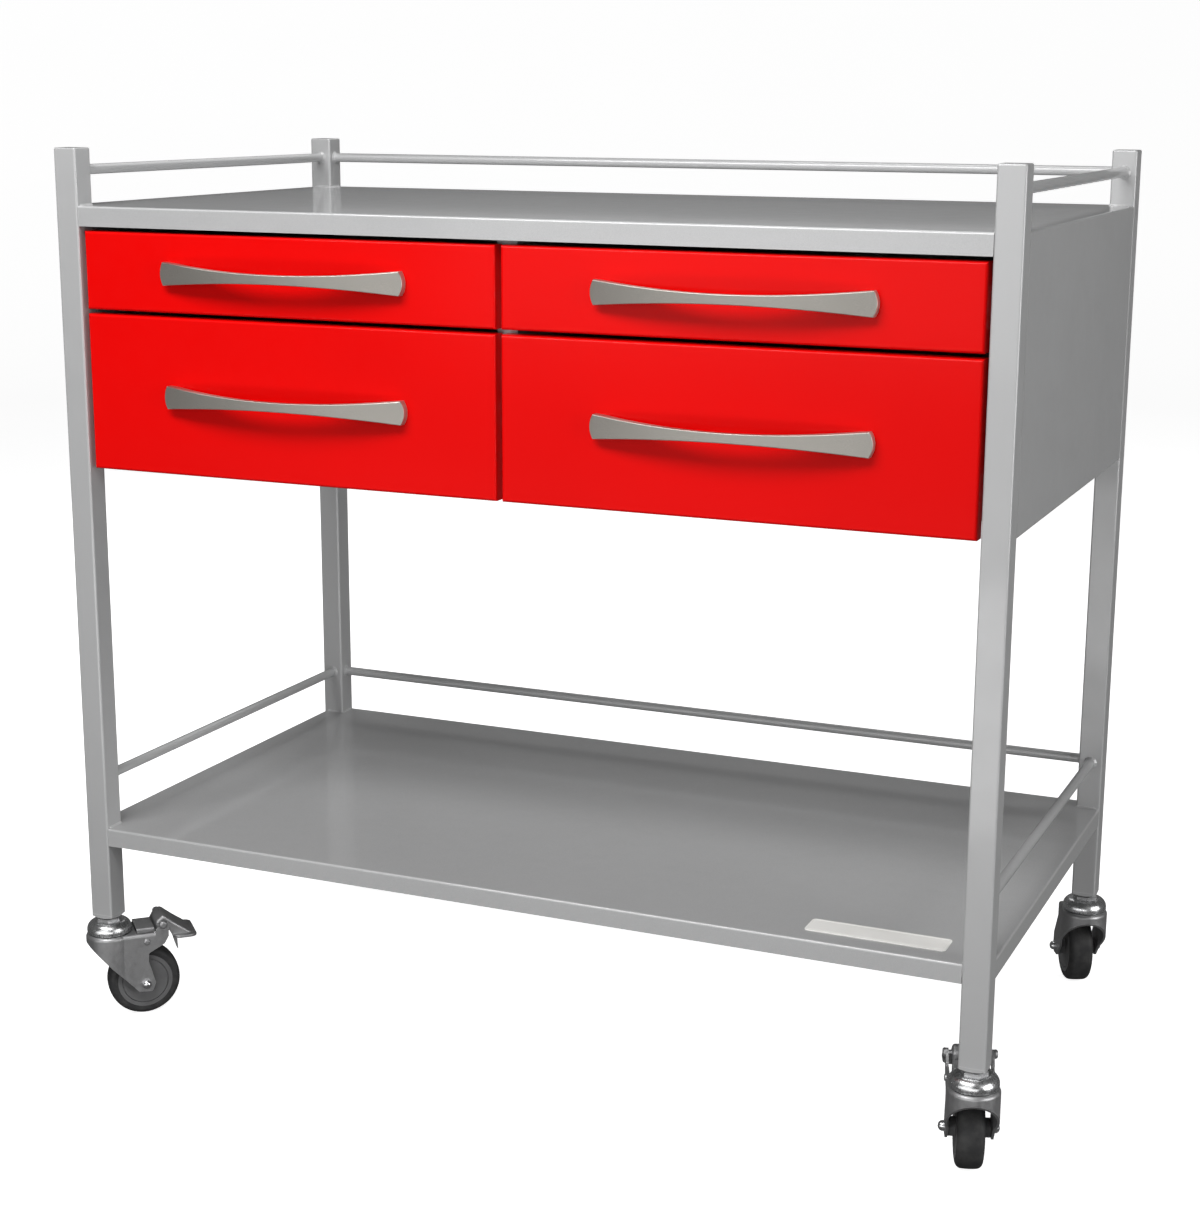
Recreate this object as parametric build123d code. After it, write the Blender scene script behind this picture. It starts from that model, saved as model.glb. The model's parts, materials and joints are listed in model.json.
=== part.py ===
from build123d import *
import math
import os

# Instrument cart: four square posts, a top shelf over four drawers, a lower shelf, guard rails and
# four swivel casters. Millimetres. The origin is on the floor, midway between the four posts;
# +X is the cart's right, seen from the drawer side, -Y is the front and +Z is up.

# ---- overall sizes ----
cart_width = 950.0          # outside the posts, along X
cart_depth = 510.0          # outside the posts, along Y
post_top = 900.0
post_bottom = 115.0
post_side = 25.0
post_wall = 1.6
post_corner = 2.0
post_cap = 3.0
plug_bottom = 109.4         # lowest point of the domed plug in the tube's foot
plug_dome = 45.0            # radius of that dome
plug_depth = 22.0

# ---- shelves ----
sheet = 1.2
top_shelf_z = 845.0         # upper face of the top shelf
top_fold = 19.5             # depth of the shelf's folded edge
lower_shelf_z = 211.0
lower_fold = 18.5
fold_return = 12.0          # the fold's inward lip
bend = 2.2                  # outside radius of a sheet bend
fit_gap = 0.1               # between a sheet's edge and a post
fold_recess = 0.5           # how far a fold's face sits inside the posts' faces

# ---- rails ----
rail_d = 10.0
top_rail_z = 878.5
lower_rail_z = 261.5

# ---- cabinet ----
cabinet_bottom = 588.0
panel_recess = 0.3
panel_return = 16.0         # depth of the lips inside the cabinet
panel_gap = 0.4
divider_width = 20.0
divider_front = -231.0
divider_back = 237.0
divider_foot = 3.0          # above the cabinet's underside
divider_head = 1.5          # below the shelf's fold
hanger_front = -171.0       # the narrow neck that hangs the divider from the shelf
hanger_back = 176.0
hanger_margin = 40.0        # from the neck's ends to the flange's
mount_plate = 1.5

# ---- drawers ----
side_gap = 4.3              # drawer front to post
column_gap = 5.8            # between the two columns
row_gap = 4.5
drawer_face_y = -252.0      # front face of the drawer fronts
drawer_top = 821.0
drawer_split = 743.3        # middle of the gap between the two rows
front_return = 16.0         # depth of the front's folded edges
front_sheet = 1.0
front_bend = 2.6
tray_sheet = 0.9
tray_back_y = 216.0
runner_depth = 12.7         # drawer side to cabinet side
tray_heights = {"top": 54.0, "bottom": 128.0}
tray_lift = 8.0             # tray floor above the front's lower edge
runner_rise = 28.0          # runner centre above the tray floor
runner_front_y = -230.0
runner_length = 450.0
runner_sheet = 1.2
# each member of a runner: height, near edge and far edge from the fixed side, web position
runner_outer = (35.0, 0.0, 9.0, 0.0)
runner_mid = (27.0, 2.6, 10.4, 2.6)
runner_in = (18.0, 4.6, 12.7, 11.5)

# ---- handles ----
handle_length = 262.0
handle_end_height = 22.5
handle_mid_height = 9.0
handle_projection = 24.0    # front of the bow, from the drawer's face
handle_end_projection = 7.0
handle_mid_thickness = 5.0
handle_pad = 14.0           # flat foot at each end
handle_end_bulge = 3.5
handle_edge = 0.9

# ---- casters ----
wheel_d = 75.0
tread_width = 25.0
rim_d = 57.0
cover_d = 47.0
cover_groove = 0.8
sleeve_d = 18.0
hub_half = 19.2
trail = 33.0                # stem axis to axle
fork_half = 22.0            # outside of a cheek
fork_round = 24.5           # outside radius of the fork's front
fork_sheet = 2.3
fork_back = 80.0
fork_corner = 3.0           # radius of the cheeks' corners
skirt_z = 85.0              # lower edge of the fork's front
foot_z = 28.5               # lower edge of the cheeks, under the axle
axle_d = 8.0
axle_head_d = 9.8
axle_head = 6.0
crown_top = 93.0
crown_plate = 3.0
crown_end = 25.0            # where the crown plate stops, behind the stem
crown_shoulder = 4.0        # radius of the crown's outer edge
dome_bottom = 93.6
dome_top = 106.4
dome_d = 46.0
dome_shoulder = 9.0
nut_flats = 22.0
nut_top = 109.7
stem_thread_d = 12.0
stem_reach = 18.0           # thread inside the plug
kingpin_d = 10.0
kingpin_head_d = 18.0
kingpin_head = 3.5
kingpin_gap = 0.4
running_clearance = 0.08
pivot_t, pivot_z = 52.5, 101.0
pivot_pin_d = 5.0
pivot_head_d = 8.6
ear_radius = 5.6            # round the pivot
ear_front = 44.0
rivet_t, rivet_z, rivet_d = 35.0, 84.0, 6.0
rivet_head_d = 6.8
clip_end = 43.6
clip_top = 97.5
clip_height = 13.0
clip_sheet = 1.4
hood_half = 16.5            # half the width of the pedal's hood
hood_wall = 1.8
hood_edge = 3.0
pad_half = 23.5             # half the width of the pedal's foot pad
pad_front, pad_back = 63.5, 88.0
pad_bottom, pad_top = 84.2, 87.0
# direction in which each caster trails, in degrees from +X
caster_headings = {"front_left": 44.0, "front_right": 108.0, "rear_right": 114.0, "rear_left": 98.0}
braked = ("front_left", "front_right")

# ---- label plate ----
label_centre = (362.5, -217.0)
label_size = (132.0, 30.0)
label_thickness = 0.8
label_corner = 4.0
label_edge = 0.3

half_w = cart_width / 2
half_d = cart_depth / 2
inner_w = half_w - post_side
inner_d = half_d - post_side
post_x = half_w - post_side / 2
post_y = half_d - post_side / 2
corners = {
    "front_left": (-post_x, -post_y),
    "front_right": (post_x, -post_y),
    "rear_left": (-post_x, post_y),
    "rear_right": (post_x, post_y),
}
sides = {"left": -1, "right": 1}


def save(shape, name):
    """Writes one node's STEP file."""
    export_step(shape, f"parts/{name}.step")


def block(x0, x1, y0, y1, z0, z1):
    """A box between two corners."""
    size = Box(x1 - x0, y1 - y0, z1 - z0)
    return Pos((x0 + x1) / 2, (y0 + y1) / 2, (z0 + z1) / 2) * size


def disc(radius, z0, z1):
    """An upright cylinder between two heights."""
    return Pos(0, 0, (z0 + z1) / 2) * Cylinder(radius, z1 - z0)


def pin_along_y(radius, y0, y1, x, z):
    """A cylinder along Y."""
    return Pos(x, (y0 + y1) / 2, z) * Rot(90, 0, 0) * Cylinder(radius, y1 - y0)


def edges_along(shape, axis, low, high, along):
    """The straight edges parallel to an axis whose middle lies between two places on another axis."""
    return shape.edges().filter_by(axis).filter_by_position(along, low, high)


# ---- frame ----
def post(x, y):
    """A square tube, closed by a ground cap at its top and open at its foot."""
    outer = block(-post_side / 2, post_side / 2, -post_side / 2, post_side / 2, post_bottom, post_top)
    outer = fillet(outer.edges().filter_by(Axis.Z), post_corner)
    outer = fillet(outer.faces().sort_by(Axis.Z)[-1].edges(), 0.85 * post_corner)
    bore = post_side / 2 - post_wall
    bore_top = post_top - post_cap
    return Pos(x, y, 0) * (outer - block(-bore, bore, -bore, bore, post_bottom - 1, bore_top))


def corner_notches(z0, z1):
    """Four square columns of air that let the posts through a shelf."""
    half = post_side
    notches = []
    for x, y in corners.values():
        cx = math.copysign(inner_w - fit_gap + half, x)
        cy = math.copysign(inner_d - fit_gap + half, y)
        notches.append(block(cx - half, cx + half, cy - half, cy + half, z0 - 1, z1 + 1))
    return notches


def folded_pan(z_top, fold):
    """A sheet folded down on four sides, with a return lip, notched at the posts."""
    w, d = half_w - fold_recess, half_d - fold_recess
    outer = block(-w, w, -d, d, z_top - fold, z_top)
    outer = fillet(outer.faces().sort_by(Axis.Z)[-1].edges(), bend)
    w, d = w - sheet, d - sheet
    pan = outer - block(-w, w, -d, d, z_top - fold + sheet, z_top - sheet)
    w, d = w - fold_return, d - fold_return
    pan -= block(-w, w, -d, d, z_top - fold - 1, z_top - sheet)
    return pan - corner_notches(z_top - fold, z_top)


def top_shelf():
    """The top sheet, folded down at the front and the rear; its sides butt against the side panels."""
    d = half_d - fold_recess
    profile = block(-inner_w + fit_gap, inner_w - fit_gap, -d, d, top_shelf_z - top_fold, top_shelf_z)
    profile = fillet(profile.faces().sort_by(Axis.Z)[-1].edges().filter_by(Axis.X), bend)
    d -= sheet
    profile -= block(-half_w, half_w, -d, d, top_shelf_z - top_fold + sheet, top_shelf_z - sheet)
    d -= fold_return
    profile -= block(-half_w, half_w, -d, d, top_shelf_z - top_fold - 1, top_shelf_z - sheet)
    wing = half_w - panel_recess - bend
    reach = inner_d - fit_gap
    return profile + block(-wing, wing, -reach, reach, top_shelf_z - sheet, top_shelf_z)


def side_panel(side):
    """A sheet flush between two posts, bent over at the top to meet the shelf, with a lip below."""
    out = half_w - panel_recess
    lip = out - panel_return
    reach = inner_d - fit_gap - panel_gap
    slab = block(lip, out, -reach, reach, cabinet_bottom, top_shelf_z)
    slab = fillet(edges_along(slab, Axis.Y, out - 1, out + 1, Axis.X), bend)
    slab -= block(lip, out - sheet, -half_d, half_d, cabinet_bottom + sheet, top_shelf_z - sheet)
    slab -= block(lip, out - bend, -half_d, half_d, top_shelf_z - 2 * sheet, top_shelf_z + 1)
    return slab if side > 0 else mirror(slab, Plane.YZ)


def back_panel():
    """A sheet flush between the rear posts, under the shelf's rear fold."""
    out = half_d - fold_recess
    lip = out - panel_return
    x = inner_w - fit_gap
    top = top_shelf_z - top_fold - panel_gap
    slab = block(-x, x, lip, out, cabinet_bottom, top)
    slab = fillet(slab.edges().filter_by(Axis.X).sort_by(Axis.Z)[0:2].sort_by(Axis.Y)[-1], bend)
    return slab - block(-half_w, half_w, lip, out - sheet, cabinet_bottom + sheet, top + 1)


def centre_divider():
    """An upright box section, hung from the shelf by a neck, that carries both columns' inner runners."""
    x = divider_width / 2
    top = top_shelf_z - top_fold - divider_head
    box = block(-x, x, divider_front, divider_back, cabinet_bottom + divider_foot, top)
    x -= sheet
    box -= block(-x, x, divider_front + sheet, divider_back - sheet, 0, post_top)
    y0, y1 = hanger_front - hanger_margin, hanger_back + hanger_margin
    flange = block(-divider_width, divider_width, y0, y1, top, top + sheet)
    neck = block(-x, x, hanger_front, hanger_back, top, top_shelf_z - sheet)
    x -= sheet
    neck -= block(-x, x, hanger_front + sheet, hanger_back - sheet, top - 1, post_top)
    return box + flange + neck


def runner_mount_plates():
    """Two upright plates, flush with the posts' inner faces, that carry the outer runners."""
    plates = []
    for side in sides.values():
        x = sorted((side * inner_w, side * (inner_w + mount_plate)))
        reach = inner_d - fit_gap
        plates.append(block(*x, -reach, reach, cabinet_bottom + 4, top_shelf_z - sheet))
    return Compound(children=plates)


def side_rails(z):
    """A rod from front post to rear post on each side."""
    radius = rail_d / 2
    return Compound(children=[pin_along_y(radius, -inner_d, inner_d, s * post_x, z) for s in sides.values()])


def rear_rail(z):
    """A rod between the rear posts."""
    return Pos(0, post_y, z) * Rot(0, 90, 0) * Cylinder(rail_d / 2, 2 * inner_w)


def label_plate():
    """A blank rounded plate on the lower shelf."""
    outline = RectangleRounded(*label_size, label_corner)
    plate = extrude(Pos(*label_centre, lower_shelf_z) * outline, label_thickness)
    return fillet(plate.faces().sort_by(Axis.Z)[-1].edges(), label_edge)


# ---- drawers ----
def column_span(side):
    """Left and right edges of a column's drawer fronts."""
    near, far = column_gap / 2, inner_w - side_gap
    return (near, far) if side > 0 else (-far, -near)


def row_span(row):
    """Lower and upper edges of a row's drawer fronts."""
    if row == "top":
        return drawer_split + row_gap / 2, drawer_top
    return cabinet_bottom, drawer_split - row_gap / 2


def tray_span(side):
    """Left and right faces of a column's drawer trays."""
    near, far = divider_width / 2 + runner_depth, inner_w - runner_depth
    return (near, far) if side > 0 else (-far, -near)


def drawer_front(side, row):
    """A folded front: a face with rounded edges and a return on all four sides."""
    x0, x1 = column_span(side)
    z0, z1 = row_span(row)
    y0, y1 = drawer_face_y, drawer_face_y + front_return
    shell = block(x0, x1, y0, y1, z0, z1)
    shell = fillet(shell.faces().sort_by(Axis.Y)[0].edges(), front_bend)
    t = front_sheet
    return shell - block(x0 + t, x1 - t, y0 + t, y1 + 1, z0 + t, z1 - t)


def drawer_tray(side, row):
    """An open steel box behind the front."""
    x0, x1 = tray_span(side)
    z0 = row_span(row)[0] + tray_lift
    z1 = z0 + tray_heights[row]
    y0 = drawer_face_y + front_sheet
    t = tray_sheet
    outer = block(x0, x1, y0, tray_back_y, z0, z1)
    return outer - block(x0 + t, x1 - t, y0 + t, tray_back_y - t, z0 + t, z1 + 1)


def drawer_handle(side, row):
    """A flat bow handle: flared ends, a slim middle and a back that bows away from the front."""
    half = handle_length / 2
    end, mid = handle_end_height / 2, handle_mid_height / 2
    tip = half - handle_end_bulge
    front_view = make_face(
        ThreePointArc((-tip, end), (0, mid), (tip, end))
        + ThreePointArc((tip, end), (half, 0), (tip, -end))
        + ThreePointArc((tip, -end), (0, -mid), (-tip, -end))
        + ThreePointArc((-tip, -end), (-half, 0), (-tip, end))
    )
    out, end_out = handle_projection, handle_end_projection
    foot = half - handle_pad
    plan = make_face(
        ThreePointArc((-half, -end_out), (0, -out), (half, -end_out))
        + Line((half, -end_out), (half, 0))
        + Line((half, 0), (foot, 0))
        + ThreePointArc((foot, 0), (0, -out + handle_mid_thickness), (-foot, 0))
        + Line((-foot, 0), (-half, 0))
        + Line((-half, 0), (-half, -end_out))
    )
    tall = extrude(plan, handle_end_height, both=True)
    deep = extrude(Plane.XZ * front_view, 2 * out, both=True)
    bow = tall & deep
    x0, x1 = column_span(side)
    z0, z1 = row_span(row)
    return Pos((x0 + x1) / 2, drawer_face_y, (z0 + z1) / 2) * soften(bow, handle_edge)


def soften(shape, radius):
    """Rounds the long edges of the bow's front face."""
    front = shape.faces().sort_by(Axis.Y)[0]
    return fillet(front.edges(), radius)


def runner_member(size, side_face, towards, z, y0, y1):
    """One channel of a runner, seen from the fixed side_face and opening towards the drawer."""
    height, near, far, web = size
    t = runner_sheet

    def at(distance):
        return side_face + towards * distance

    def slab(d0, d1, z0, z1):
        x = sorted((at(d0), at(d1)))
        return block(*x, y0, y1, z0, z1)

    low, high = z - height / 2, z + height / 2
    return slab(web, web + t, low, high) + slab(near, far, low, low + t) + slab(near, far, high - t, high)


def runner_places(side, row):
    """The fixed faces of a drawer's two runners, with the direction towards the drawer."""
    z = row_span(row)[0] + tray_lift + runner_rise
    return [(side * inner_w, -side, z), (side * divider_width / 2, side, z)]


def runner_set(side, row, size, setback):
    """The two matching members of one drawer's runners."""
    y0 = runner_front_y + setback
    y1 = y0 + runner_length - 2 * setback
    return [runner_member(size, face, way, z, y0, y1) for face, way, z in runner_places(side, row)]


# ---- casters: local X is the direction of trail, local Y the wheel's axis ----
def insert_plug():
    """A domed plug welded into the foot of a post, with a threaded hole."""
    bore = post_side / 2 - post_wall
    plug = block(-bore, bore, -bore, bore, post_bottom, post_bottom + plug_depth)
    h = post_side / 2
    foot = block(-h, h, -h, h, plug_bottom, post_bottom)
    foot = fillet(foot.edges().filter_by(Axis.Z), post_corner)
    foot = foot & (Pos(0, 0, plug_bottom + plug_dome) * Sphere(plug_dome))
    return plug + foot - disc(stem_thread_d / 2, 0, post_top)


def stem():
    """A threaded stem with a hexagon, whose kingpin runs through the fork's crown to a riveted head."""
    thread = disc(stem_thread_d / 2, nut_top, post_bottom + stem_reach)
    hexagon = Pos(0, 0, dome_top) * RegularPolygon(nut_flats / 2, 6, major_radius=False)
    nut = extrude(hexagon, nut_top - dome_top)
    nut = chamfer(nut.faces().sort_by(Axis.Z)[-1].edges(), 0.6)
    head_top = crown_top - crown_plate - kingpin_gap
    kingpin = disc(kingpin_d / 2, head_top, dome_top)
    head = disc(kingpin_head_d / 2, head_top - kingpin_head, head_top)
    head = chamfer(head.faces().sort_by(Axis.Z)[0].edges(), 1.5)
    return thread + nut + kingpin + head


def raceway():
    """The chrome dome over the swivel's ball race, with a wide round shoulder."""
    dome = disc(dome_d / 2, dome_bottom, dome_top)
    dome = fillet(dome.faces().sort_by(Axis.Z)[-1].edges(), dome_shoulder)
    dome = chamfer(dome.faces().sort_by(Axis.Z)[0].edges(), 1.4)
    return dome - disc(kingpin_d / 2, 0, post_top)


def fork_plan(inset):
    """The fork from above: a round front that runs back into two flat cheeks."""
    cheek = fork_half - inset
    return Circle(fork_round - inset) + Pos(fork_back / 2, 0) * Rectangle(fork_back, 2 * cheek)


def fork_outline(with_ears):
    """The fork from the side: sloping front, a foot round the axle and, on a braked caster, raised ears."""
    front = -fork_round - 1
    shape = [(front, crown_top), (front, skirt_z), (trail - 8.0, foot_z + 1)]
    shape += [(trail + 6.0, foot_z), (trail + 9.5, wheel_d / 2)]
    if with_ears:
        r = ear_radius
        shape += [(trail + 3.0, 62.0), (trail + 3.5, 71.0), (pivot_t + 1.0, 80.0), (pivot_t + r, 88.0)]
        shape += [(pivot_t + r, pivot_z), (pivot_t, pivot_z + r), (pivot_t - r, pivot_z - 2)]
        shape += [(ear_front, crown_top)]
    else:
        shape += [(trail + 9.0, 50.0), (crown_end + 1, 76.0), (crown_end + 1, crown_top)]
    face = make_face(Polyline(*shape, close=True))
    return fillet([v for v in face.vertices() if v.X > front + 1], fork_corner)


def crown_envelope():
    """The space under the crown's round shoulders: a filleted disc in front and a filleted bar behind."""
    low = crown_top - 2 * crown_shoulder
    front = disc(fork_round, low, crown_top)
    front = fillet(front.faces().sort_by(Axis.Z)[-1].edges(), crown_shoulder)
    bar = block(0, fork_back, -fork_half, fork_half, low, crown_top)
    return front + fillet(bar.faces().sort_by(Axis.Z)[-1].edges().filter_by(Axis.X), crown_shoulder)


def fork(with_ears):
    """The pressed fork: a crown plate on a round-fronted shell, cut away for the wheel."""
    height = 140.0
    under_crown = crown_top - crown_plate
    shell = extrude(fork_plan(0), height) - extrude(fork_plan(fork_sheet), under_crown)
    between = Rectangle(2 * fork_back, 2 * (fork_half - fork_sheet))
    shell -= extrude(Pos(crown_end + fork_back, 0, under_crown - 1) * between, height)
    body = shell & extrude(Plane.XZ * fork_outline(with_ears), 60, both=True)
    edge = block(-30, ear_front, -30, 30, crown_top - crown_shoulder, crown_top + 1)
    body -= edge - crown_envelope()
    body -= disc(kingpin_d / 2 + running_clearance, 0, 200)
    body -= pin_along_y(axle_d / 2, -60, 60, trail, wheel_d / 2)
    if with_ears:
        body -= pin_along_y(pivot_pin_d / 2, -60, 60, pivot_t, pivot_z)
        body -= pin_along_y(rivet_d / 2, -60, 60, rivet_t, rivet_z)
    return body


def domed_heads(diameter, height, crown, gap, t, z):
    """A pair of round heads with domed ends, one outside each cheek."""
    head = disc(diameter / 2, 0, height)
    head = fillet(head.faces().sort_by(Axis.Z)[-1].edges(), crown)
    left = Pos(t, fork_half + gap, z) * Rot(-90, 0, 0) * head
    return left + mirror(left, Plane.XZ)


def axle():
    """The wheel's axle: a bolt with a domed nut on both cheeks."""
    shaft = pin_along_y(axle_d / 2, -fork_half, fork_half, trail, wheel_d / 2)
    return shaft + domed_heads(axle_head_d, axle_head, 4.4, 0, trail, wheel_d / 2)


def tyre():
    """A solid tyre with round shoulders."""
    outer, inner, half = wheel_d / 2, rim_d / 2, tread_width / 2
    section = make_face(
        Line((inner, -half), (outer - 6.0, -half))
        + ThreePointArc((outer - 6.0, -half), (outer - 1.9, -half + 1.9), (outer - 0.4, -half + 5.0))
        + ThreePointArc((outer - 0.4, -half + 5.0), (outer, 0), (outer - 0.4, half - 5.0))
        + ThreePointArc((outer - 0.4, half - 5.0), (outer - 1.9, half - 1.9), (outer - 6.0, half))
        + Line((outer - 6.0, half), (inner, half))
        + Line((inner, half), (inner, -half))
    )
    ring = revolve(Plane.XZ * section, Axis.Z)
    return Pos(trail, 0, wheel_d / 2) * Rot(90, 0, 0) * ring


def hub():
    """The wheel's centre: rim ring, cover disc inside a groove and a sleeve that turns on the axle."""
    rim, cover, half = rim_d / 2, cover_d / 2, tread_width / 2
    core = disc(rim, -half, half)
    for way in (-1, 1):
        z = sorted((way * (half - 1.2), way * (half + 1)))
        core -= disc(cover + cover_groove, *z) - disc(cover, *z)
        sleeve = sorted((way * (half - 1), way * hub_half))
        core += disc(sleeve_d / 2, *sleeve)
    core -= disc(axle_d / 2 + running_clearance, -60, 60)
    return Pos(trail, 0, wheel_d / 2) * Rot(90, 0, 0) * core


def hood_outline(inset):
    """The brake pedal's hood from the side: a nose over the pivot that runs down to the foot pad."""
    shape = Polyline(
        (pivot_t - 6.0, 93.5),
        (pivot_t - 6.5, 103.0),
        (pivot_t + 2.0, 109.5),
        (pivot_t + 15.0, 99.0),
        (pivot_t + 31.5, pad_top),
        (pivot_t + 31.5, pad_bottom),
        (pad_front, pad_bottom),
        (pad_front - 4.0, 92.0),
        close=True,
    )
    face = make_face(shape)
    face = fillet([v for v in face.vertices() if v.Y > 98], 4.0)
    return offset(face, -inset) if inset else face


def tongue():
    """The wedge under the pedal that presses on the tread."""
    shape = Polyline(
        (pad_front, pad_bottom + 1),
        (pad_front + 5.5, pad_bottom + 1),
        (pivot_t + 17.7, pivot_z - 35.5),
        (pivot_t + 16.9, pivot_z - 35.5),
        close=True,
    )
    return extrude(Plane.XZ * make_face(shape), 5.0, both=True)


def brake_pedal():
    """A pressed pedal on the fork's pivot: a hollow hood, a wide flat foot pad and a tongue below."""
    hood = extrude(Plane.XZ * hood_outline(0), hood_half, both=True)
    sides = hood.faces().filter_by(Axis.Y)
    hood = fillet([e for f in sides for e in f.edges() if e.center().Z > 94], hood_edge)
    inside = extrude(Plane.XZ * hood_outline(hood_wall), hood_half - hood_wall, both=True)
    hood -= inside + Pos(0, 0, -6) * inside
    length = pad_back - pad_front
    pad = Pos((pad_front + pad_back) / 2, 0, pad_bottom) * RectangleRounded(length, 2 * pad_half, 7.0)
    pad = extrude(pad, pad_top - pad_bottom)
    pad = fillet(pad.faces().sort_by(Axis.Z)[-1].edges(), 1.0)
    reach = fork_half + 1.0
    pin = pin_along_y(pivot_pin_d / 2 - running_clearance, -reach, reach, pivot_t, pivot_z)
    return hood + pad + tongue() + pin + domed_heads(pivot_head_d, 2.8, 2.2, 0.3, pivot_t, pivot_z)


def brake_spring():
    """A pressed spring clip behind the crown, between the cheeks, that holds the pedal up or down."""
    half = fork_half - fork_sheet - 3.0
    base = clip_top - clip_height
    clip = block(crown_end + 0.6, clip_end, -half, half, base, clip_top)
    clip = fillet(clip.faces().sort_by(Axis.Z)[-1].edges().filter_by(Axis.X), 2.0)
    inner = half - clip_sheet
    clip -= block(0, fork_back, -inner, inner, base - 1, clip_top - clip_sheet)
    rivet = pin_along_y(rivet_d / 2, -fork_half, fork_half, rivet_t, rivet_z)
    return clip + rivet + domed_heads(rivet_head_d, 2.0, 1.7, 0, rivet_t, rivet_z)


def placed(shape, corner):
    """Turns a caster piece to its heading and moves it under its post."""
    x, y = corners[corner]
    return Pos(x, y, 0) * Rot(0, 0, caster_headings[corner]) * shape


def at_corners(piece, name):
    """Saves four copies of a piece, one under each post, as one node."""
    save(Compound(children=[Pos(x, y, 0) * piece for x, y in corners.values()]), name)


def make_frame():
    for corner, (x, y) in corners.items():
        save(post(x, y), f"post_{corner}")
    save(top_shelf(), "top_shelf")
    save(folded_pan(lower_shelf_z, lower_fold), "lower_shelf")
    save(side_rails(top_rail_z), "top_side_rails")
    save(rear_rail(top_rail_z), "top_rear_rail")
    save(side_rails(lower_rail_z), "lower_side_rails")
    save(rear_rail(lower_rail_z), "lower_rear_rail")
    for name, side in sides.items():
        save(side_panel(side), f"side_panel_{name}")
    save(back_panel(), "back_panel")
    save(centre_divider(), "centre_divider")
    save(runner_mount_plates(), "runner_mount_plates")
    save(label_plate(), "label_plate")
    at_corners(insert_plug(), "caster_inserts")
    at_corners(stem(), "caster_stems")
    at_corners(raceway(), "caster_raceways")


def make_drawers():
    fixed = []
    for row in ("top", "bottom"):
        for name, side in sides.items():
            place = f"{row}_{name}"
            save(drawer_front(side, row), f"drawer_front_{place}")
            save(drawer_tray(side, row), f"drawer_tray_{place}")
            save(drawer_handle(side, row), f"drawer_handle_{place}")
            save(Compound(children=runner_set(side, row, runner_in, 2.0)), f"runner_inner_{place}")
            save(Compound(children=runner_set(side, row, runner_mid, 1.0)), f"runner_middle_{place}")
            fixed += runner_set(side, row, runner_outer, 0.0)
    save(Compound(children=fixed), "runner_channels")


def make_casters():
    for corner in corners:
        ears = corner in braked
        save(placed(fork(ears), corner), f"caster_fork_{corner}")
        save(placed(axle(), corner), f"caster_axle_{corner}")
        save(placed(hub(), corner), f"caster_hub_{corner}")
        save(placed(tyre(), corner), f"caster_tyre_{corner}")
        if ears:
            save(placed(brake_pedal(), corner), f"brake_pedal_{corner}")
            save(placed(brake_spring(), corner), f"brake_spring_{corner}")


os.makedirs("parts", exist_ok=True)
make_frame()
make_drawers()
make_casters()
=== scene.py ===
import bpy
import bmesh
import json
import math
from mathutils import Matrix, Vector


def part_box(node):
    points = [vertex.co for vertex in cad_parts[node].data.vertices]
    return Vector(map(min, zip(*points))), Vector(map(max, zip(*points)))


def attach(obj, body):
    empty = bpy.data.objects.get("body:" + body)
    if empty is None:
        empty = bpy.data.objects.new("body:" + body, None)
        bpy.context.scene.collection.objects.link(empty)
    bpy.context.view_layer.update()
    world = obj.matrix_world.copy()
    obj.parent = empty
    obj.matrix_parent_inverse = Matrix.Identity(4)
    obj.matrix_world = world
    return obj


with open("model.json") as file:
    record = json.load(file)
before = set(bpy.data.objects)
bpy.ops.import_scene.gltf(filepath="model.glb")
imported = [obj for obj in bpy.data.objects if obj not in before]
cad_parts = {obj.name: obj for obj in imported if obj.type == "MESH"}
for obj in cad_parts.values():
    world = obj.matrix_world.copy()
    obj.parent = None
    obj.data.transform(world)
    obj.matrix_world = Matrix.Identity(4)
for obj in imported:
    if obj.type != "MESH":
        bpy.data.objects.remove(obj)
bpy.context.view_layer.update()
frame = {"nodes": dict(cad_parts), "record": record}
record = frame["record"]
nodes = frame["nodes"]
slot_of = {s["node"]: s["material_slot"] for s in record["subparts"]}

MM = 0.001
SMOOTH_ANGLE = math.radians(32)


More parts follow.
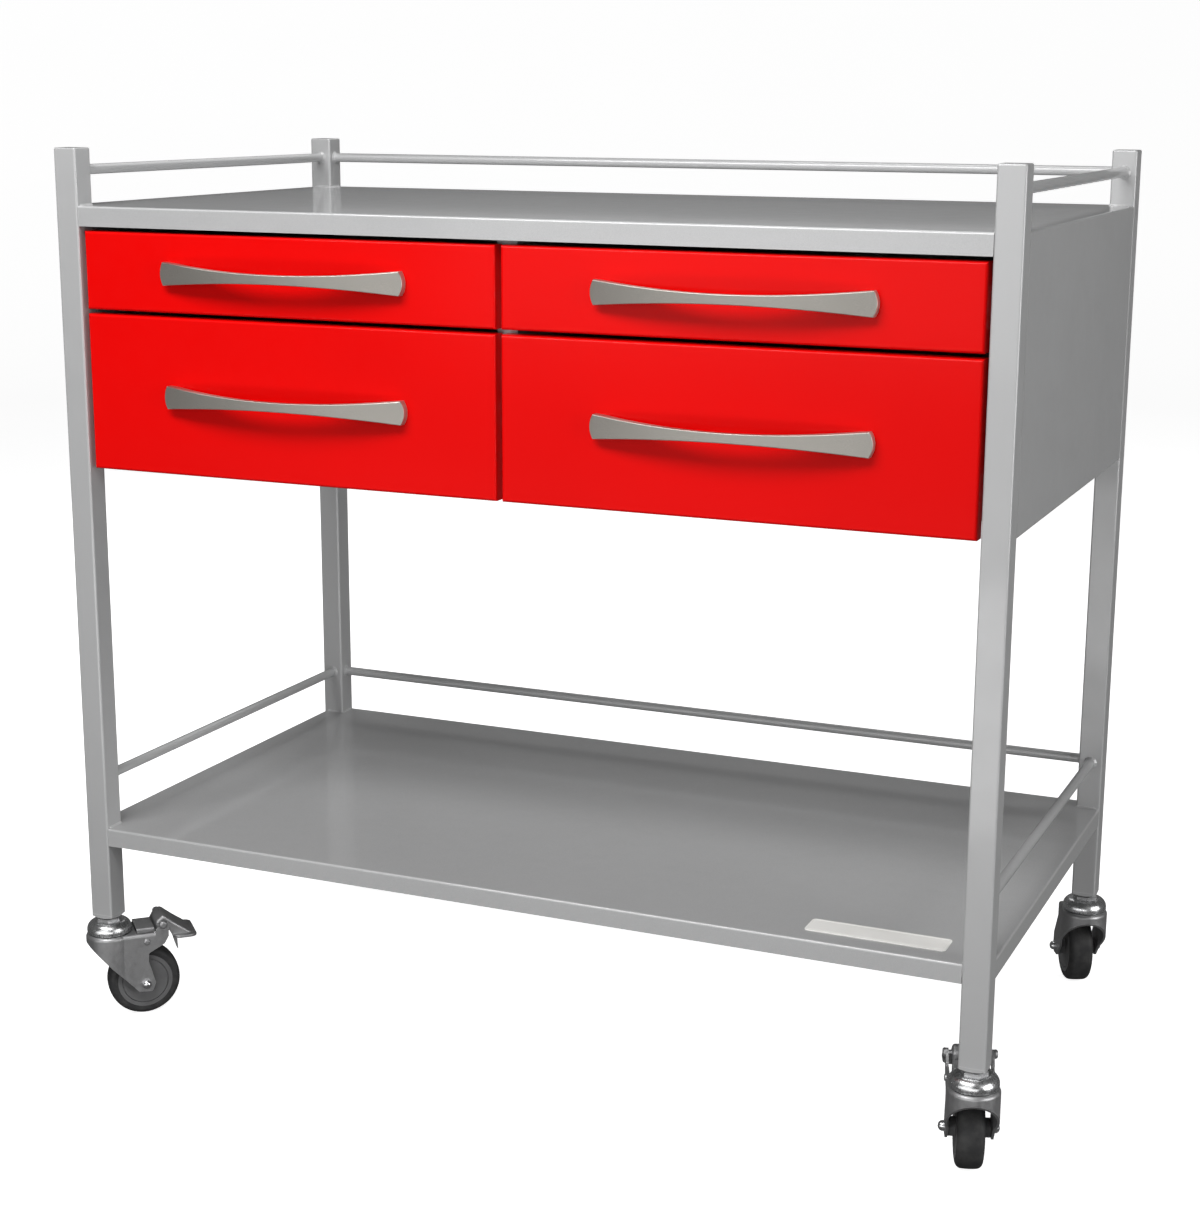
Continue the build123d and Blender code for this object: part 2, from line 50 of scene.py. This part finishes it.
# ---- node helpers ----
class Shader:
    """A material under construction: its node tree, its Principled shader and a few shorthands."""

    def __init__(self, name, **sockets):
        self.material = bpy.data.materials.new(name)
        self.material.use_nodes = True
        self.tree = self.material.node_tree
        self.bsdf = self.tree.nodes["Principled BSDF"]
        self.coords = self.tree.nodes.new("ShaderNodeTexCoord").outputs["Object"]
        self.height = None
        for socket, value in sockets.items():
            self.set(socket.replace("_", " "), value)

    def set(self, socket, value):
        """Sets one of the shader's own sockets to a constant."""
        names = {s.name.lower(): s for s in self.bsdf.inputs}
        if isinstance(value, tuple):
            value = (*value, 1.0)[:4]
        names[socket.lower()].default_value = value

    def stretched(self, scale):
        """Object coordinates scaled per axis, so that a pattern runs along one of them."""
        mapping = self.tree.nodes.new("ShaderNodeMapping")
        mapping.inputs["Scale"].default_value = scale
        self.tree.links.new(self.coords, mapping.inputs["Vector"])
        return mapping.outputs["Vector"]

    def noise(self, scale, detail=2.0, roughness=0.5, stretch=None):
        """A noise value around 0.5; scale is in features per metre."""
        noise = self.tree.nodes.new("ShaderNodeTexNoise")
        noise.inputs["Scale"].default_value = scale
        noise.inputs["Detail"].default_value = detail
        noise.inputs["Roughness"].default_value = roughness
        vector = self.stretched(stretch) if stretch else self.coords
        self.tree.links.new(vector, noise.inputs["Vector"])
        return noise.outputs["Fac"]

    def range(self, value, low, high, from_low=0.3, from_high=0.7):
        """Maps a value to a range."""
        node = self.tree.nodes.new("ShaderNodeMapRange")
        node.inputs["From Min"].default_value = from_low
        node.inputs["From Max"].default_value = from_high
        node.inputs["To Min"].default_value = low
        node.inputs["To Max"].default_value = high
        self.tree.links.new(value, node.inputs["Value"])
        return node.outputs["Result"]

    def mix(self, factor, first, second):
        """A colour between two, by a factor."""
        node = self.tree.nodes.new("ShaderNodeMix")
        node.data_type = "RGBA"
        for socket, value in (("A", first), ("B", second)):
            target = [s for s in node.inputs if s.name == socket and s.type == "RGBA"][0]
            if isinstance(value, tuple):
                target.default_value = (*value, 1.0)
            else:
                self.tree.links.new(value, target)
        target = [s for s in node.inputs if s.name == "Factor" and s.type == "VALUE"][0]
        self.tree.links.new(factor, target)
        return [s for s in node.outputs if s.type == "RGBA"][0]

    def math(self, operation, first, second):
        """One step of arithmetic between two sockets or numbers."""
        node = self.tree.nodes.new("ShaderNodeMath")
        node.operation = operation
        for index, value in enumerate((first, second)):
            if isinstance(value, (int, float)):
                node.inputs[index].default_value = value
            else:
                self.tree.links.new(value, node.inputs[index])
        return node.outputs[0]

    def color(self, socket):
        """Takes the base colour from a socket."""
        self.tree.links.new(socket, self.bsdf.inputs["Base Color"])

    def roughness(self, socket):
        """Takes the roughness from a socket."""
        self.tree.links.new(socket, self.bsdf.inputs["Roughness"])

    def bump(self, value, distance, strength=1.0):
        """Adds a bump layer over the ones before it; distance is its height in metres."""
        node = self.tree.nodes.new("ShaderNodeBump")
        node.inputs["Strength"].default_value = strength
        node.inputs["Distance"].default_value = distance
        self.tree.links.new(value, node.inputs["Height"])
        if self.height is not None:
            self.tree.links.new(self.height, node.inputs["Normal"])
        self.height = node.outputs["Normal"]
        self.tree.links.new(self.height, self.bsdf.inputs["Normal"])

    def edges(self, radius):
        """A mask for a painted highlight: 1 on a rounded edge, 0 on flat ground; radius is in
        metres.
        """
        highlight_dot, flat_dot = 0.82, 0.99
        bevel = self.tree.nodes.new("ShaderNodeBevel")
        bevel.samples = 4
        bevel.inputs["Radius"].default_value = radius
        geometry = self.tree.nodes.new("ShaderNodeNewGeometry")
        dot = self.tree.nodes.new("ShaderNodeVectorMath")
        dot.operation = "DOT_PRODUCT"
        self.tree.links.new(bevel.outputs["Normal"], dot.inputs[0])
        self.tree.links.new(geometry.outputs["Normal"], dot.inputs[1])
        return self.range(dot.outputs["Value"], 1.0, 0.0, highlight_dot, flat_dot)


# ---- materials ----
def powder_coat():
    """Silver powder coat under a gloss coat: orange peel, metallic fleck, slow tone changes."""
    s = Shader(
        "powder_coat_silver",
        metallic=0.3,
        specular_ior_level=0.5,
        coat_weight=0.8,
        coat_roughness=0.09,
    )
    tone = s.range(s.noise(3.0, 3.0), 0.0, 1.0)
    fleck = s.range(s.noise(2600.0, 1.0), 0.0, 1.0, 0.35, 0.65)
    base = s.mix(tone, (0.46, 0.462, 0.465), (0.50, 0.502, 0.505))
    base = s.mix(fleck, base, (0.56, 0.562, 0.565))
    # Rounded edges are mixed towards light grey: a painted highlight.
    s.color(s.mix(s.math("MULTIPLY", s.edges(0.0012), 0.6), base, (0.74, 0.74, 0.74)))
    s.roughness(s.range(s.noise(45.0, 3.0), 0.46, 0.56))
    s.bump(s.noise(520.0, 2.0), 0.00006, 0.5)
    s.bump(s.noise(2200.0, 1.0), 0.00002, 0.4)
    return s.material


def drawer_red():
    """Saturated red gloss coat: faint orange peel, uneven gloss, and a painted highlight along its
    edges.
    """
    s = Shader("powder_coat_red", specular_ior_level=0.08, coat_weight=0.12, coat_roughness=0.14)
    tone = s.range(s.noise(4.0, 2.0), 0.0, 1.0)
    base = s.mix(tone, (0.77, 0.0008, 0.0006), (0.82, 0.001, 0.0008))
    # Rounded edges are mixed towards brighter red: a painted highlight.
    s.color(s.mix(s.math("MULTIPLY", s.edges(0.0015), 0.5), base, (0.95, 0.004, 0.003)))
    s.roughness(s.range(s.noise(60.0, 3.0), 0.34, 0.42))
    s.bump(s.noise(420.0, 2.0), 0.00005, 0.45)
    s.bump(s.noise(14.0, 1.0), 0.0006, 0.25)
    return s.material


def brushed_nickel():
    """Warm grey nickel with fine brushing along the handle."""
    s = Shader("brushed_nickel", metallic=1.0, anisotropic=0.45)
    streak = s.noise(1.0, 4.0, 0.7, stretch=(60.0, 2400.0, 2400.0))
    blotch = s.range(s.noise(35.0, 3.0), 0.0, 1.0)
    base = s.mix(s.range(streak, 0.0, 1.0), (0.43, 0.41, 0.375), (0.60, 0.575, 0.53))
    base = s.mix(blotch, base, (0.50, 0.48, 0.44))
    # Rounded edges are mixed towards pale nickel: a painted highlight.
    s.color(s.mix(s.math("MULTIPLY", s.edges(0.0008), 0.7), base, (0.80, 0.78, 0.73)))
    s.roughness(s.range(streak, 0.42, 0.56))
    s.bump(streak, 0.00003, 0.5)
    return s.material


def bright_zinc():
    """Rolled and zinc-plated strip, with long faint draw lines and cloudy patches."""
    s = Shader("bright_zinc", metallic=0.9)
    lines = s.noise(1.0, 2.0, 0.5, stretch=(700.0, 8.0, 700.0))
    cloud = s.range(s.noise(40.0, 2.0), 0.0, 1.0)
    base = s.mix(s.range(lines, 0.0, 1.0), (0.56, 0.575, 0.60), (0.64, 0.655, 0.68))
    base = s.mix(cloud, base, (0.60, 0.615, 0.64))
    # Rounded edges are mixed towards pale zinc: a painted highlight.
    s.color(s.mix(s.edges(0.0006), base, (0.78, 0.79, 0.80)))
    s.roughness(s.range(s.noise(60.0, 2.0), 0.34, 0.44))
    s.bump(lines, 0.00001, 0.4)
    return s.material


def dull_zinc():
    """Pressed steel with a dull zinc coat: cloudy tone, fine grain and small pits."""
    s = Shader("dull_zinc", metallic=0.85)
    cloud = s.range(s.noise(90.0, 4.0, 0.6), 0.0, 1.0)
    grain = s.range(s.noise(1800.0, 2.0), 0.0, 1.0)
    base = s.mix(cloud, (0.33, 0.33, 0.335), (0.43, 0.43, 0.435))
    base = s.mix(grain, base, (0.46, 0.46, 0.465))
    # Rounded edges are mixed towards pale zinc: a painted highlight.
    s.color(s.mix(s.edges(0.0008), base, (0.66, 0.66, 0.665)))
    s.roughness(s.range(s.noise(200.0, 3.0), 0.36, 0.52))
    s.bump(s.noise(900.0, 3.0), 0.00003, 0.5)
    s.bump(s.noise(90.0, 2.0), 0.0002, 0.25)
    return s.material


def polished_chrome():
    """Chrome plate with slight waviness, handling haze and fine scratches."""
    s = Shader("polished_chrome", metallic=1.0)
    haze = s.range(s.noise(160.0, 4.0, 0.65), 0.0, 1.0, 0.4, 0.75)
    s.color(s.mix(haze, (0.84, 0.845, 0.855), (0.66, 0.665, 0.67)))
    s.roughness(s.range(s.noise(260.0, 4.0), 0.20, 0.36))
    s.bump(s.noise(110.0, 2.0), 0.00012, 0.3)
    s.bump(s.noise(1.0, 2.0, 0.6, stretch=(300.0, 300.0, 3500.0)), 0.00002, 0.4)
    return s.material


def hub_nylon():
    """Matt mid-grey moulded nylon with a sparked mould texture."""
    s = Shader("hub_nylon", specular_ior_level=0.4)
    cloud = s.range(s.noise(60.0, 3.0), 0.0, 1.0)
    s.color(s.mix(cloud, (0.125, 0.125, 0.127), (0.16, 0.16, 0.162)))
    s.roughness(s.range(s.noise(300.0, 2.0), 0.46, 0.62))
    s.bump(s.noise(2500.0, 2.0), 0.00003, 0.6)
    return s.material


def tyre_rubber():
    """Dark grey non-marking tyre: matt, dusty in patches and finely scuffed."""
    s = Shader("tyre_rubber", specular_ior_level=0.35)
    dust = s.range(s.noise(70.0, 4.0, 0.6), 0.0, 1.0, 0.42, 0.72)
    s.color(s.mix(dust, (0.034, 0.034, 0.035), (0.062, 0.061, 0.060)))
    s.roughness(s.range(s.noise(150.0, 3.0), 0.55, 0.78))
    s.bump(s.noise(1500.0, 3.0), 0.00005, 0.5)
    s.bump(s.noise(240.0, 3.0), 0.0001, 0.35)
    return s.material


def label_laminate():
    """Blank off-white laminate with a faint cloud in its print."""
    s = Shader("label_laminate", specular_ior_level=0.5, coat_weight=0.3, coat_roughness=0.1)
    cloud = s.range(s.noise(25.0, 2.0), 0.0, 1.0)
    s.color(s.mix(cloud, (0.93, 0.92, 0.88), (0.97, 0.96, 0.93)))
    s.roughness(s.range(s.noise(90.0, 2.0), 0.28, 0.38))
    s.bump(s.noise(700.0, 2.0), 0.00002, 0.5)
    return s.material


SLOT_MATERIALS = {
    "frame_paint": powder_coat(),
    "drawer_paint": drawer_red(),
    "handle_nickel": brushed_nickel(),
    "runner_zinc": bright_zinc(),
    "swivel_chrome": polished_chrome(),
    "fork_zinc": dull_zinc(),
    "wheel_hub": hub_nylon(),
    "tyre": tyre_rubber(),
    "label": label_laminate(),
}


def dress_cad_nodes():
    """Gives every CAD node the material of its slot and smooth shading between its hard edges."""
    for name, node in nodes.items():
        node.data.materials.clear()
        node.data.materials.append(SLOT_MATERIALS[slot_of[name]])
        node.data.shade_smooth()
        node.data.set_sharp_from_angle(angle=SMOOTH_ANGLE)


# ---- added detail ----
def add_piece(name, verts, faces, turn, slot, body):
    """Adds a mesh made in millimetres in its own axes, placed by a matrix and tied to a body."""
    mesh = bpy.data.meshes.new(name)
    mesh.from_pydata([turn @ (Vector(v) * MM) for v in verts], [], faces)
    tidy = bmesh.new()
    tidy.from_mesh(mesh)
    bmesh.ops.recalc_face_normals(tidy, faces=tidy.faces)
    tidy.to_mesh(mesh)
    tidy.free()
    mesh.materials.append(SLOT_MATERIALS[slot])
    mesh.shade_smooth()
    mesh.set_sharp_from_angle(angle=SMOOTH_ANGLE)
    piece = bpy.data.objects.new(name, mesh)
    bpy.context.scene.collection.objects.link(piece)
    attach(piece, body)


def along(place, axis):
    """A placement at a point, in metres, whose Z runs along an axis."""
    turn = Vector((0, 0, 1)).rotation_difference(Vector(axis)).to_matrix().to_4x4()
    return Matrix.Translation(Vector(place)) @ turn


def lathe(profile, segments=48, ripple=0.0, waves=11):
    """A closed profile of (radius, height) points turned about Z; ripple waves its radius."""
    verts, faces, count = [], [], len(profile)
    for i in range(segments):
        angle = 2 * math.pi * i / segments
        swell = 1 + ripple * math.sin(waves * angle)
        for radius, height in profile:
            x, y = radius * swell * math.cos(angle), radius * swell * math.sin(angle)
            verts.append((x, y, height))
    total = segments * count
    for i in range(segments):
        for j in range(count):
            a, b = i * count + j, i * count + (j + 1) % count
            faces.append((a, b, (b + count) % total, (a + count) % total))
    return verts, faces


def weld_bead(length, size):
    """A rippled fillet bead along X, in the corner between the planes Y = 0 and Z = 0."""
    step, sunk, corners = 0.6, 0.05, 5
    # Its section starts at a share of full size, tip, and gains growth at each step.
    tip, growth = 0.3, 0.35
    ripple, phase = 0.14, 2.1
    near, far = 0.18, 0.62
    steps = max(8, int(length / step))
    verts, faces = [], []
    for i in range(steps + 1):
        end = min(1.0, tip + min(i, steps - i) * growth)
        r = size * end * (1 + ripple * math.sin(phase * i))
        x = length * i / steps
        verts += [
            (x, -sunk, -sunk),
            (x, r, -sunk),
            (x, far * r, near * r),
            (x, near * r, far * r),
            (x, -sunk, r),
        ]
    for i in range(steps):
        for j in range(corners):
            a, b = corners * i + j, corners * i + (j + 1) % corners
            faces.append((a, b, b + corners, a + corners))
    faces.append(tuple(range(corners)))
    faces.append(tuple(range(corners * steps, corners * steps + corners)))
    return verts, faces


def rail_welds():
    """A weld ring at each end of every rail."""
    profile = [(4.8, -0.1), (6.9, -0.1), (6.3, 0.7), (5.5, 1.4), (5.0, 2.2), (4.8, 2.2)]
    ring = lathe(profile, ripple=0.03)
    for level in ("top", "lower"):
        low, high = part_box(f"{level}_side_rails")
        radius = (high[2] - low[2]) / 2
        z = low[2] + radius
        for side, x in (("left", low[0] + radius), ("right", high[0] - radius)):
            for end, y, way in (("front", low[1], 1), ("rear", high[1], -1)):
                place = along((x, y, z), (0, way, 0))
                add_piece(f"weld_{level}_{side}_{end}", *ring, place, "frame_paint", "cart_frame")
        low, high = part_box(f"{level}_rear_rail")
        y = (low[1] + high[1]) / 2
        for end, x, way in (("left", low[0], 1), ("right", high[0], -1)):
            place = along((x, y, z), (way, 0, 0))
            add_piece(f"weld_{level}_rear_{end}", *ring, place, "frame_paint", "cart_frame")


def shelf_welds():
    """Two short beads on each shelf at every post, against the post's inner faces."""
    length, size = 21.0, 1.7
    bead = weld_bead(length, size)
    for shelf in ("top_shelf", "lower_shelf"):
        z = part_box(shelf)[1][2]
        for corner in ("front_left", "front_right", "rear_left", "rear_right"):
            low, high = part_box(f"post_{corner}")
            sx, sy = (-1 if low[0] < 0 else 1), (-1 if low[1] < 0 else 1)
            x = high[0] if sx < 0 else low[0]
            y = high[1] if sy < 0 else low[1]
            on_y_face = Matrix(((sx, 0, 0, x), (0, -sy, 0, y), (0, 0, 1, z), (0, 0, 0, 1)))
            on_x_face = Matrix(((0, -sx, 0, x), (sy, 0, 0, y), (0, 0, 1, z), (0, 0, 0, 1)))
            for name, turn in (("side", on_y_face), ("end", on_x_face)):
                add_piece(f"weld_{shelf}_{corner}_{name}", *bead, turn, "frame_paint", "cart_frame")


def handle_screws():
    """Two socket-head screws behind each handle, inside the drawer."""
    profile = [(1.5, 0.0), (3.9, 0.0), (4.0, 0.7), (3.4, 1.6), (2.3, 2.1), (1.7, 2.1), (1.5, 1.8)]
    head = lathe(profile, segments=36)
    tray_sheet, inset = 0.9, 7
    for name in [n for n in nodes if n.startswith("drawer_handle_")]:
        place = name[len("drawer_handle_"):]
        low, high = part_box(name)
        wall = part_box(f"drawer_tray_{place}")[0][1] + tray_sheet * MM
        z = (low[2] + high[2]) / 2
        for side, x in (("left", low[0] + inset * MM), ("right", high[0] - inset * MM)):
            turn = along((x, wall, z), (0, 1, 0))
            add_piece(f"screw_{place}_{side}", *head, turn, "runner_zinc", f"drawer_{place}")


def tyre_mould_lines():
    """A thin raised line round both sides of each tyre."""
    ring = lathe([(29.5, -0.1), (30.5, -0.1), (30.2, 0.25), (29.8, 0.25)], segments=96)
    from_middle = 12.5
    for joint in record["behaviour"]["joints"]:
        if not joint["name"].startswith("wheel_spin_"):
            continue
        corner = joint["name"][len("wheel_spin_"):]
        centre, axis = Vector(joint["pos_m"]), Vector(joint["axis"])
        for name, way in (("outer", 1), ("inner", -1)):
            place = along(centre + axis * way * from_middle * MM, axis * way)
            add_piece(f"mould_line_{corner}_{name}", *ring, place, "tyre", f"wheel_{corner}")


def label_border():
    """A thin raised border inside the label's edge."""
    low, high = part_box("label_plate")
    cx, cy = (low[0] + high[0]) / 2 / MM, (low[1] + high[1]) / 2 / MM
    half_x, half_y = (high[0] - low[0]) / 2 / MM, (high[1] - low[1]) / 2 / MM
    top = high[2] / MM
    loops = ((2.2, -0.05), (2.35, 0.16), (2.85, 0.16), (3.0, -0.05))
    verts, faces, steps = [], [], 8
    outer_radius = 4.2
    for inset, lift in loops:
        radius = outer_radius - inset
        for quarter, (sx, sy) in enumerate(((1, 1), (-1, 1), (-1, -1), (1, -1))):
            for i in range(steps + 1):
                turn = math.pi / 2 * (quarter + i / steps)
                x = cx + sx * (half_x - inset - radius) + radius * math.cos(turn)
                y = cy + sy * (half_y - inset - radius) + radius * math.sin(turn)
                verts.append((x, y, top + lift))
    count = 4 * (steps + 1)
    for k in range(len(loops) - 1):
        for i in range(count):
            a, b = k * count + i, k * count + (i + 1) % count
            faces.append((a, b, b + count, a + count))
    add_piece("label_border", verts, faces, Matrix(), "label", "cart_frame")


# ---- stage ----
def stage_material():
    """Matt near-white with a faint cloud; its own glow keeps it pale."""
    s = Shader("pale_floor", specular_ior_level=0.1)
    s.color(s.mix(s.range(s.noise(2.0, 2.0), 0.0, 1.0), (0.86, 0.86, 0.86), (0.88, 0.88, 0.88)))
    s.set("roughness", 0.9)
    s.set("emission color", (1.0, 1.0, 1.0))
    s.set("emission strength", 0.85)
    return s.material


def make_stage():
    """A pale round floor that curves up into a plain wall on every side."""
    flat, curve, top = 5.0, 2.5, 8.0
    steps, segments = 12, 64
    profile = [(0.0, 0.0), (flat, 0.0)]
    for i in range(1, steps + 1):
        turn = math.pi / 2 * i / steps
        profile.append((flat + curve * math.sin(turn), curve - curve * math.cos(turn)))
    profile.append((flat + curve, top))
    verts, faces, count = [], [], len(profile)
    for i in range(segments):
        angle = 2 * math.pi * i / segments
        verts += [(r * math.cos(angle), r * math.sin(angle), z) for r, z in profile]
        for j in range(count - 1):
            here, after = i * count + j, (i + 1) % segments * count + j
            faces.append((here, here + 1, after + 1, after))
    mesh = bpy.data.meshes.new("floor")
    mesh.from_pydata(verts, [], faces)
    mesh.materials.append(stage_material())
    mesh.shade_smooth()
    floor = bpy.data.objects.new("floor", mesh)
    floor.visible_diffuse = False
    floor.visible_glossy = False
    bpy.context.scene.collection.objects.link(floor)


def area_light(name, place, aim, size, power, mirrored=True):
    """A soft rectangular light aimed at a point; unless mirrored, it leaves no highlight."""
    data = bpy.data.lights.new(name, "AREA")
    data.shape = "RECTANGLE"
    data.size, data.size_y = size
    data.energy = power
    light = bpy.data.objects.new(name, data)
    light.location = place
    light.rotation_euler = (Vector(aim) - Vector(place)).to_track_quat("-Z", "Y").to_euler()
    light.visible_glossy = mirrored
    bpy.context.scene.collection.objects.link(light)


def make_lights():
    """A dim white world and eight soft lights: place, aim, size and power of each."""
    world = bpy.data.worlds.new("studio")
    world.use_nodes = True
    background = world.node_tree.nodes["Background"]
    background.inputs["Color"].default_value = (1.0, 1.0, 1.0, 1.0)
    background.inputs["Strength"].default_value = 0.09
    bpy.context.scene.world = world
    area_light("key", (-0.22, -1.25, 1.85), (0.0, -0.1, 0.75), (1.5, 0.5), 26.0)
    area_light("panel", (-0.25, -2.4, 1.05), (-0.1, -0.2, 0.85), (1.8, 1.2), 8.0)
    area_light("bounce", (0.0, -1.45, 0.1), (0.0, -0.2, 0.25), (2.4, 0.35), 6.0)
    area_light("right", (2.9, -0.6, 0.9), (0.45, 0.0, 0.5), (1.8, 1.8), 40.0)
    area_light("rear", (-0.4, 2.2, 2.2), (0.0, 0.0, 0.8), (2.0, 0.8), 6.0)
    area_light("top", (0.0, 0.15, 2.5), (0.0, 0.0, 0.8), (0.9, 0.5), 7.0)
    area_light("rear_left", (-2.4, 1.9, 1.4), (-0.2, 0.1, 0.5), (1.4, 1.4), 20.0, False)
    area_light("rear_right", (2.5, 2.1, 1.4), (0.2, 0.1, 0.5), (1.2, 1.4), 16.0, False)


def make_camera():
    """Stands in front, to the right and a little above the top shelf, looking slightly down."""
    place = Vector((0.8838, -2.0634, 0.9563))
    yaw, pitch, roll = 0.4076, -0.2301, 0.0043
    across = math.cos(pitch)
    forward = Vector((-math.sin(yaw) * across, math.cos(yaw) * across, math.sin(pitch)))
    level = Vector((math.cos(yaw), math.sin(yaw), 0.0))
    up = level.cross(forward)
    right = level * math.cos(roll) + up * math.sin(roll)
    up = up * math.cos(roll) - level * math.sin(roll)
    data = bpy.data.cameras.new("camera")
    data.lens = 65.55
    data.sensor_width = 36.0
    data.clip_end = 100.0
    camera = bpy.data.objects.new("camera", data)
    turn = Matrix((right, up, -forward)).transposed().to_4x4()
    camera.matrix_world = Matrix.Translation(place) @ turn
    bpy.context.scene.collection.objects.link(camera)
    bpy.context.scene.camera = camera
    bpy.context.scene.view_settings.view_transform = "Standard"


make_camera()
make_lights()
make_stage()
dress_cad_nodes()
rail_welds()
shelf_welds()
handle_screws()
tyre_mould_lines()
label_border()
